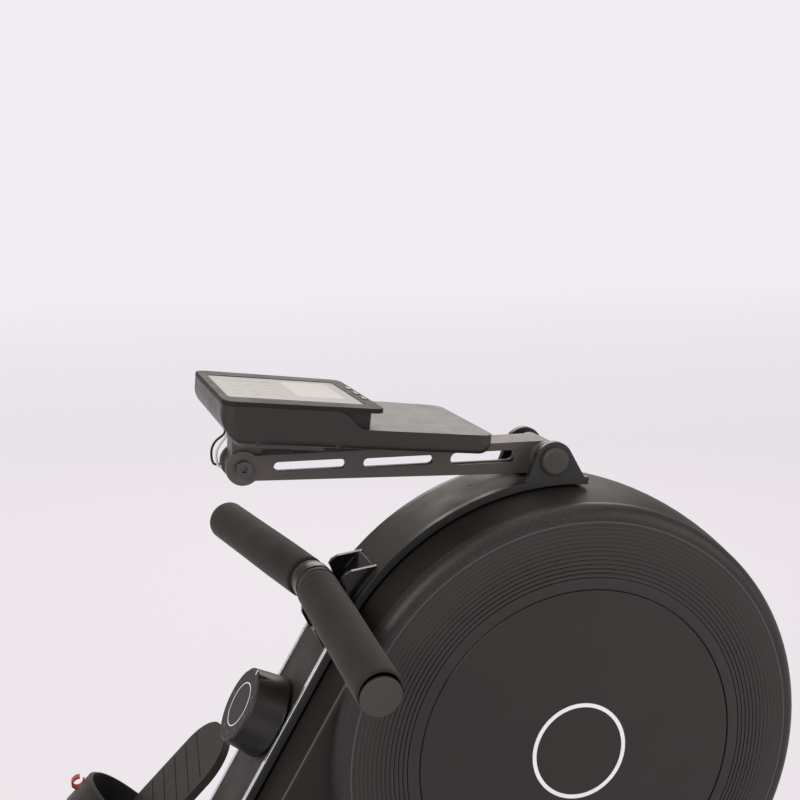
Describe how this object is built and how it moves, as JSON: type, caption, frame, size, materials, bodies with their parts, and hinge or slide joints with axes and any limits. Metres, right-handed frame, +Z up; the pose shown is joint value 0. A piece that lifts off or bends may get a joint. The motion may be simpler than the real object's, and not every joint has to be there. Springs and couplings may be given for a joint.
{
  "type": "rowing machine",
  "caption": "Magnetic rowing machine with a ridged drum housing, pull handle, tilting console on a folding arm, footplates and a folding seat rail.",
  "frame": {"origin": "on the floor, under the middle of the machine's length and width", "axes": "+X forward towards the drum, +Y to the user's left, +Z up"},
  "size_m": [2.0585, 0.518, 0.8007],
  "materials": {
    "frame_paint": "satin powder coat, fine texture",
    "black_plastic": "moulded, lightly textured",
    "drum_plastic": "moulded, fine leather-like texture",
    "cover_satin": "satin",
    "bracket_metal": "gunmetal satin",
    "bright_trim": "bright brushed",
    "white_ring": "printed, semi-gloss",
    "steel": "machined",
    "iron": "turned",
    "magnet": "plated",
    "webbing": "woven strap",
    "foam": "matt foam",
    "console_plastic": "fine texture",
    "display": "grey LCD behind clear cover",
    "wire": "insulated lead",
    "aluminium_rail": "anodised",
    "roller": "nylon",
    "wheel_tyre": "matt",
    "seat_skin": "grained vinyl over foam"
  },
  "bodies": {
    "frame": {"main_frame": "frame_paint", "front_foot": "frame_paint", "middle_foot": "frame_paint", "foot_caps": "black_plastic", "housing_left": "drum_plastic", "housing_right": "drum_plastic", "side_disc_left": "drum_plastic", "side_disc_right": "drum_plastic", "emblem_rings": "white_ring", "neck_cover": "cover_satin", "cover_screws": "steel", "arm_bracket_left": "bracket_metal", "arm_bracket_right": "bracket_metal", "neck_trims": "bright_trim", "flywheel_axle": "steel", "rewind_spring_case": "steel", "drive_strap": "webbing", "handle_cradle": "black_plastic", "knob_collar": "black_plastic", "arm_pivot_bolt": "steel", "pivot_caps": "black_plastic", "pedal_axle": "steel", "rail_hinge_pin": "steel"},
    "wheel_left": {"transport_wheel_left": "wheel_tyre"},
    "wheel_right": {"transport_wheel_right": "wheel_tyre"},
    "flywheel": {"flywheel": "iron", "flywheel_bearings": "steel"},
    "spool": {"strap_spool": "black_plastic"},
    "guide": {"guide_roller": "black_plastic"},
    "brake": {"magnet_arm": "frame_paint", "brake_magnets": "magnet"},
    "knob": {"tension_knob": "black_plastic"},
    "handle": {"handle_tube": "steel", "grip_left": "foam", "grip_right": "foam", "grip_plugs": "black_plastic", "handle_collar": "black_plastic", "strap_clip": "steel"},
    "arm": {"console_arm": "bracket_metal", "console_bolt": "steel"},
    "console": {"console_bracket": "bracket_metal", "console_back": "console_plastic", "console_bezel": "console_plastic", "console_screen": "display", "console_wires": "wire"},
    "key_left": {"console_key_left": "console_plastic"},
    "key_middle": {"console_key_middle": "console_plastic"},
    "key_right": {"console_key_right": "console_plastic"},
    "pedal_left": {"footplate_left": "black_plastic", "foot_strap_left": "webbing"},
    "pedal_right": {"footplate_right": "black_plastic", "foot_strap_right": "webbing"},
    "rail": {"rail": "aluminium_rail", "rail_caps": "black_plastic", "rear_foot": "frame_paint"},
    "clamp": {"rail_clamp_knob": "black_plastic"},
    "seat": {"seat_carriage": "steel", "seat_pad": "seat_skin"},
    "rollers_front": {"seat_rollers_front": "roller"},
    "rollers_rear": {"seat_rollers_rear": "roller"}
  },
  "joints": [
    {"name": "flywheel_spin", "type": "hinge", "parent": "frame", "child": "flywheel", "pos_m": [0.77075, 0, 0.43], "axis": [0, 1, 0], "continuous": true},
    {"name": "handle_pull", "type": "slide", "parent": "frame", "child": "handle", "axis": [-0.9976, 0, 0.0698], "range_m": [0, 1.2], "stiffness_N_per_m": 8, "springref_m": -1.2, "deforming": ["drive_strap"]},
    {"name": "spool_spin", "type": "hinge", "parent": "frame", "child": "spool", "pos_m": [0.77075, 0, 0.43], "axis": [0, 1, 0], "range_deg": [-1400, 1]},
    {"name": "guide_spin", "type": "hinge", "parent": "frame", "child": "guide", "pos_m": [0.56864, 0, 0.55593], "axis": [0, 1, 0], "range_deg": [-7700, 1]},
    {"name": "knob_turn", "type": "hinge", "parent": "frame", "child": "knob", "pos_m": [0.45194, 0, 0.47781], "axis": [-0.866, 0, 0.5], "range_deg": [-300, 0]},
    {"name": "brake_swing", "type": "hinge", "parent": "frame", "child": "brake", "pos_m": [0.63126, 0, 0.26377], "axis": [0, 1, 0], "range_deg": [-5.2, 0.2]},
    {"name": "arm_fold", "type": "hinge", "parent": "frame", "child": "arm", "pos_m": [0.76075, 0, 0.714], "axis": [0, 1, 0], "range_deg": [-2, 80]},
    {"name": "console_tilt", "type": "hinge", "parent": "arm", "child": "console", "pos_m": [0.45375, 0, 0.722], "axis": [0, -1, 0], "range_deg": [0, 60], "deforming": ["console_wires"]},
    {"name": "pedal_left_tilt", "type": "hinge", "parent": "frame", "child": "pedal_left", "pos_m": [0.33761, 0.137, 0.23844], "axis": [0, 1, 0], "range_deg": [-12, 12]},
    {"name": "pedal_right_tilt", "type": "hinge", "parent": "frame", "child": "pedal_right", "pos_m": [0.33761, -0.137, 0.23844], "axis": [0, 1, 0], "range_deg": [-12, 12]},
    {"name": "rail_fold", "type": "hinge", "parent": "frame", "child": "rail", "pos_m": [0.10075, 0, 0.28], "axis": [0, 1, 0], "range_deg": [0, 85]},
    {"name": "clamp_turn", "type": "hinge", "parent": "frame", "child": "clamp", "pos_m": [0.10075, 0.035, 0.28], "axis": [0, 1, 0], "range_deg": [-720, 0]},
    {"name": "seat_slide", "type": "slide", "parent": "rail", "child": "seat", "axis": [-1, 0, 0], "range_m": [-0.11, 0.585]},
    {"name": "rollers_front_spin", "type": "hinge", "parent": "seat", "child": "rollers_front", "pos_m": [-0.15925, 0, 0.278], "axis": [0, 1, 0], "range_deg": [-2040, 400]},
    {"name": "rollers_rear_spin", "type": "hinge", "parent": "seat", "child": "rollers_rear", "pos_m": [-0.29925, 0, 0.278], "axis": [0, 1, 0], "range_deg": [-2040, 400]},
    {"name": "wheel_left_spin", "type": "hinge", "parent": "frame", "child": "wheel_left", "pos_m": [0.94875, 0.19, 0.034], "axis": [0, 1, 0], "continuous": true},
    {"name": "wheel_right_spin", "type": "hinge", "parent": "frame", "child": "wheel_right", "pos_m": [0.94875, -0.19, 0.034], "axis": [0, 1, 0], "continuous": true},
    {"name": "key_left_press", "type": "slide", "parent": "console", "child": "key_left", "axis": [-0.1097, 0, -0.994], "range_m": [0, 0.001], "stiffness_N_per_m": 400, "springref_m": -0.0005},
    {"name": "key_middle_press", "type": "slide", "parent": "console", "child": "key_middle", "axis": [-0.1097, 0, -0.994], "range_m": [0, 0.001], "stiffness_N_per_m": 400, "springref_m": -0.0005},
    {"name": "key_right_press", "type": "slide", "parent": "console", "child": "key_right", "axis": [-0.1097, 0, -0.994], "range_m": [0, 0.001], "stiffness_N_per_m": 400, "springref_m": -0.0005}
  ],
  "couplings": [
    {"joint": "spool_spin", "follows": "handle_pull", "rad_per_m": -18.975},
    {"joint": "guide_spin", "follows": "handle_pull", "rad_per_m": -103.09},
    {"joint": "brake_swing", "follows": "knob_turn", "ratio": 0.016667},
    {"joint": "rollers_front_spin", "follows": "seat_slide", "rad_per_m": -56.18},
    {"joint": "rollers_rear_spin", "follows": "seat_slide", "rad_per_m": -56.18}
  ]
}
